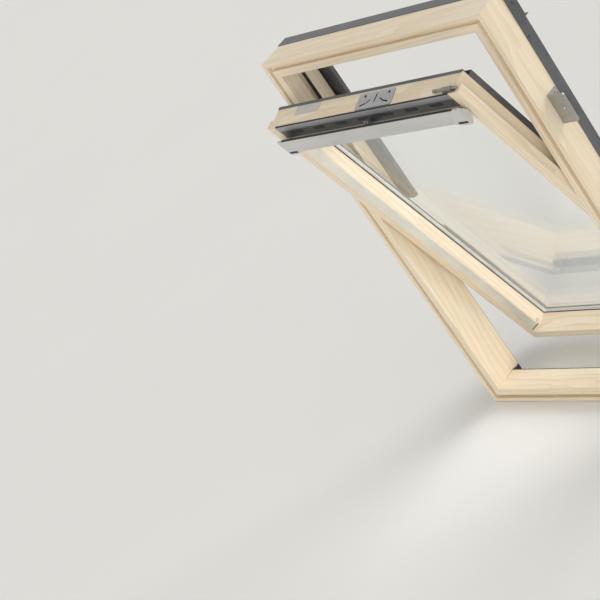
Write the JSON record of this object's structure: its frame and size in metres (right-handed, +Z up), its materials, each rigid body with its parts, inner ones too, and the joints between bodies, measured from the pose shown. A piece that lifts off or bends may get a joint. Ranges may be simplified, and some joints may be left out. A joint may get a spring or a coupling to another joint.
{
  "type": "roof skylight",
  "caption": "Centre-pivot roof window in pine: timber frame, glazed sash turning at mid height, control bar with vent and lock at the sash head.",
  "frame": {"origin": "centre of the four bracket holes, on the plane of the battens", "axes": "X across the window, Y out through the roof, Z up the slope"},
  "size_m": [0.88, 0.4335, 1.1815],
  "materials": {
    "pine": "clear lacquer, satin",
    "rubber": "matt",
    "glass": "clear",
    "anodised_aluminium": "satin anodised",
    "light_plastic": "light grey, matt",
    "dark_plastic": "black, matt",
    "filter_foam": "dark filter foam",
    "painted_cladding": "grey painted aluminium, satin",
    "zinc_steel": "zinc plated"
  },
  "bodies": {
    "frame": {"jamb_left": "pine", "jamb_right": "pine", "frame_bottom": "pine", "frame_top": "pine", "stop_bead_left": "pine", "stop_bead_right": "pine", "stop_gasket_left": "rubber", "stop_gasket_right": "rubber", "upper_cover_left": "painted_cladding", "upper_cover_right": "painted_cladding", "side_cladding_left": "painted_cladding", "side_cladding_right": "painted_cladding", "sill_cladding": "painted_cladding", "top_hood": "painted_cladding", "corner_seals": "rubber", "hinge_frame_plate_left": "zinc_steel", "hinge_frame_plate_right": "zinc_steel", "mounting_brackets": "zinc_steel", "bolt_bushes": "dark_plastic", "strike_plate": "zinc_steel"},
    "sash": {"stile_left": "pine", "stile_right": "pine", "sash_bottom_rail": "pine", "sash_top_rail": "pine", "inner_pane": "glass", "outer_pane": "glass", "spacer_bar": "anodised_aluminium", "glazing_gasket": "rubber", "glazing_trim": "painted_cladding", "guide_rail_left": "anodised_aluminium", "guide_rail_right": "anodised_aluminium", "rail_end_plugs": "dark_plastic", "stile_clips": "light_plastic", "sill_gasket": "rubber", "lower_cover_left": "painted_cladding", "lower_cover_right": "painted_cladding", "bottom_cover": "painted_cladding", "head_trim": "painted_cladding", "data_plate": "anodised_aluminium", "hinge_sash_plate_left": "zinc_steel", "hinge_sash_plate_right": "zinc_steel", "vent_housing": "anodised_aluminium", "vent_filter": "filter_foam", "bar_brackets": "zinc_steel", "lock_plate": "anodised_aluminium", "lock_case": "zinc_steel", "bolt_housing": "zinc_steel"},
    "control_bar": {"control_bar": "anodised_aluminium", "bar_seal": "rubber", "bar_end_cap_left": "light_plastic", "bar_end_cap_right": "light_plastic", "bar_fork": "zinc_steel"},
    "lock_claws": {"lock_claws": "zinc_steel"},
    "barrel_bolt": {"barrel_bolt": "zinc_steel"}
  },
  "joints": [
    {"name": "sash_pivot", "type": "hinge", "parent": "frame", "child": "sash", "pos_m": [0, 0.072, 0], "axis": [1, 0, 0], "range_deg": [-18, 147]},
    {"name": "bar_hinge", "type": "hinge", "parent": "sash", "child": "control_bar", "pos_m": [0, -0.16069, 0.42489], "axis": [1, 0, 0], "range_deg": [-30, 0]},
    {"name": "claw_slide", "type": "slide", "parent": "sash", "child": "lock_claws", "axis": [0, -0.309, 0.9511], "range_m": [0, 0.0065]},
    {"name": "bolt_slide", "type": "slide", "parent": "sash", "child": "barrel_bolt", "axis": [1, 0, 0], "range_m": [0, 0.017]}
  ],
  "couplings": [
    {"joint": "claw_slide", "follows": "bar_hinge", "m_per_rad": -0.012414}
  ]
}
